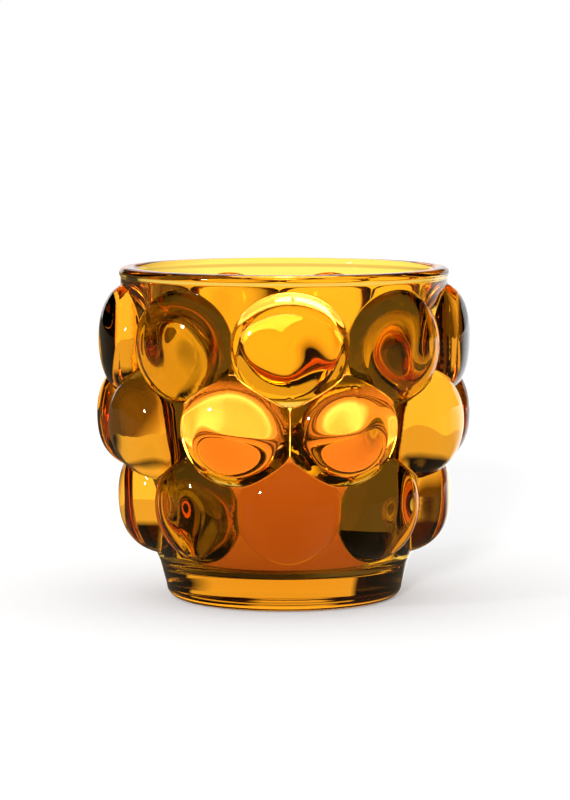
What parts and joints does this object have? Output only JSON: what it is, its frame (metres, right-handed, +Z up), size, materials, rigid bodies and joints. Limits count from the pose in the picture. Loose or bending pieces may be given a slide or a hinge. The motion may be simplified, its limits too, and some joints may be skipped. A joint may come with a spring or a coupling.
{
  "type": "tealight holder",
  "caption": "Pressed amber glass tealight holder with staggered rows of round convex bubbles, a plain rim and a thick plain foot, holding a wax candle in a clear plastic cup.",
  "frame": {"origin": "centre of the base, on the surface the holder stands on", "axes": "+Z up along the holder's axis, -Y towards the front, where a bubble of the top row faces"},
  "size_m": [0.0962, 0.0961, 0.085],
  "materials": {
    "amber_glass": "clear transparent amber, fire-polished",
    "cup_clear": "clear polycarbonate, thin moulded wall",
    "wax": "white paraffin wax, translucent",
    "tin_plate": "stamped tin plate",
    "cotton": "braided cotton, charred at the tip"
  },
  "bodies": {
    "holder": {"glass_holder": "amber_glass"},
    "tealight": {"tealight_cup": "cup_clear"},
    "candle": {"wax": "wax", "wick": "cotton", "wick_sustainer": "tin_plate"}
  },
  "joints": [
    {"name": "tealight_lift", "type": "slide", "parent": "holder", "child": "tealight", "axis": [0, 0, 1], "range_m": [0, 0.08]},
    {"name": "candle_lift", "type": "slide", "parent": "tealight", "child": "candle", "axis": [0, 0, 1], "range_m": [0, 0.038]}
  ]
}
